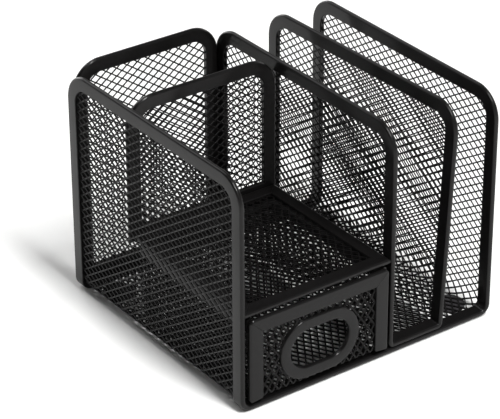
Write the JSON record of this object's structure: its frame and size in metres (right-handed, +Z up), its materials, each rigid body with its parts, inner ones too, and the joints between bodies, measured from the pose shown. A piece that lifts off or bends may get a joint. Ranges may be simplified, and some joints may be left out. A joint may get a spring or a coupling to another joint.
{
  "type": "mesh desk organizer",
  "caption": "Black steel-mesh desk organizer with folded rims: a note tray over a pull-out drawer with an oval finger hole, a pen bin behind, and upright letter slots beside.",
  "frame": {"origin": "centre of the bounding box's bottom face, on the desk under the foot pads", "axes": "+X to the right seen from the front, from the drawer side to the letter slots; +Y from front to back, so the drawer front faces -Y; +Z up"},
  "size_m": [0.158, 0.151, 0.129],
  "materials": {
    "rim_steel": "satin black powder coat on folded steel strip",
    "mesh_steel": "satin black powder coat on expanded steel mesh",
    "foot_pad": "matt black foam rubber"
  },
  "bodies": {
    "frame": {"left_side_mesh": "mesh_steel", "left_side_rim": "rim_steel", "left_bend_mesh": "mesh_steel", "base_mesh": "mesh_steel", "right_bend_mesh": "mesh_steel", "base_front_rim": "rim_steel", "base_back_rim": "rim_steel", "right_side_mesh": "mesh_steel", "right_side_rim": "rim_steel", "inner_divider_mesh": "mesh_steel", "inner_divider_rim": "rim_steel", "slot_floor_mesh": "mesh_steel", "slot_floor_front_rim": "rim_steel", "slot_floor_back_rim": "rim_steel", "outer_divider_mesh": "mesh_steel", "outer_divider_rim": "rim_steel", "back_panel_mesh": "mesh_steel", "back_panel_rim": "rim_steel", "partition_mesh": "mesh_steel", "partition_rim": "rim_steel", "shelf_mesh": "mesh_steel", "shelf_rim": "rim_steel", "front_left_pad": "foot_pad", "front_right_pad": "foot_pad", "back_left_pad": "foot_pad", "back_right_pad": "foot_pad"},
    "drawer": {"drawer_front_mesh": "mesh_steel", "drawer_front_rim": "rim_steel", "handle_ring": "rim_steel", "drawer_floor_mesh": "mesh_steel", "drawer_left_mesh": "mesh_steel", "drawer_right_mesh": "mesh_steel", "drawer_back_mesh": "mesh_steel", "drawer_wall_rim": "rim_steel"}
  },
  "joints": [
    {"name": "drawer_slide", "type": "slide", "parent": "frame", "child": "drawer", "axis": [0, -1, 0], "range_m": [0, 0.07]}
  ]
}
